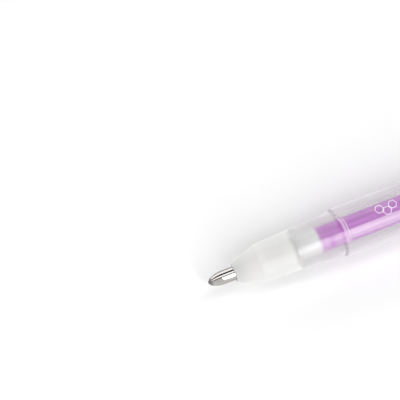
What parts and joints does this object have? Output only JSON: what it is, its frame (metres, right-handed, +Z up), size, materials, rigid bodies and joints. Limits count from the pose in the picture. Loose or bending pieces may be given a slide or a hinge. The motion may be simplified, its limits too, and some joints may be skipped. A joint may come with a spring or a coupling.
{
  "type": "retractable highlighter",
  "caption": "Slim click-top highlighter pen with a frosted translucent barrel, milky nose cone, metal rolling-ball tip, coloured refill, clip and push button.",
  "frame": {"origin": "on the pen's axis, at the middle of the plain stretch of the main barrel, 62 mm behind the end of the writing ball", "axes": "+X along the pen from the writing tip to the push button, +Z up with the pen lying on its barrel, -Y the clip's side"},
  "size_m": [0.141, 0.0122, 0.0098],
  "materials": {
    "ball_carbide": "polished",
    "tip_metal": "bright turned metal",
    "spring_steel": "drawn wire",
    "holder_plastic": "translucent white",
    "ink": "saturated purple ink",
    "grease": "clear grease",
    "tube_plastic": "clear tube, tinted by its ink",
    "plug_plastic": "white",
    "mechanism_plastic": "white moulded",
    "nose_plastic": "frosted, milky",
    "barrel_plastic": "frosted, translucent",
    "housing_plastic": "frosted, translucent",
    "button_plastic": "coloured like the ink",
    "clip_plastic": "milky"
  },
  "bodies": {
    "barrel": {"nose_section": "nose_plastic", "main_barrel": "barrel_plastic", "rear_housing": "housing_plastic", "cam_guide": "mechanism_plastic", "clip_collar": "clip_plastic", "spring_seat": "mechanism_plastic", "return_spring": "spring_steel"},
    "refill": {"metal_tip": "tip_metal", "tip_spring": "spring_steel", "nib_holder": "holder_plastic", "check_ball": "ball_carbide", "ink_column": "ink", "ink_follower": "grease", "refill_tube": "tube_plastic", "refill_plug": "plug_plastic", "refill_carrier": "mechanism_plastic"},
    "rotor": {"cam_rotor": "mechanism_plastic"},
    "button": {"cam_plunger": "mechanism_plastic", "push_button": "button_plastic"},
    "clip": {"clip_arm": "clip_plastic"},
    "ball": {"tip_ball": "ball_carbide"}
  },
  "joints": [
    {"name": "refill_slide", "type": "slide", "parent": "barrel", "child": "refill", "axis": [-1, 0, 0], "range_m": [-0.006, 0.001], "deforming": ["return_spring"]},
    {"name": "button_press", "type": "slide", "parent": "barrel", "child": "button", "axis": [-1, 0, 0], "range_m": [-0.006, 0.001]},
    {"name": "cam_index", "type": "hinge", "parent": "refill", "child": "rotor", "pos_m": [0.048, 0, 0], "axis": [1, 0, 0], "range_deg": [0, 45]},
    {"name": "clip_flex", "type": "hinge", "parent": "barrel", "child": "clip", "pos_m": [0.0597, -0.00566, -0.00265], "axis": [0, -0.4242, 0.9056], "range_deg": [0, 6], "stiffness_Nm_per_rad": 1.8, "springref_deg": -1.15},
    {"name": "ball_roll", "type": "hinge", "parent": "refill", "child": "ball", "pos_m": [-0.06152, 0, 0], "axis": [0, 1, 0], "continuous": true}
  ],
  "couplings": [
    {"joint": "button_press", "follows": "refill_slide", "ratio": 1}
  ]
}
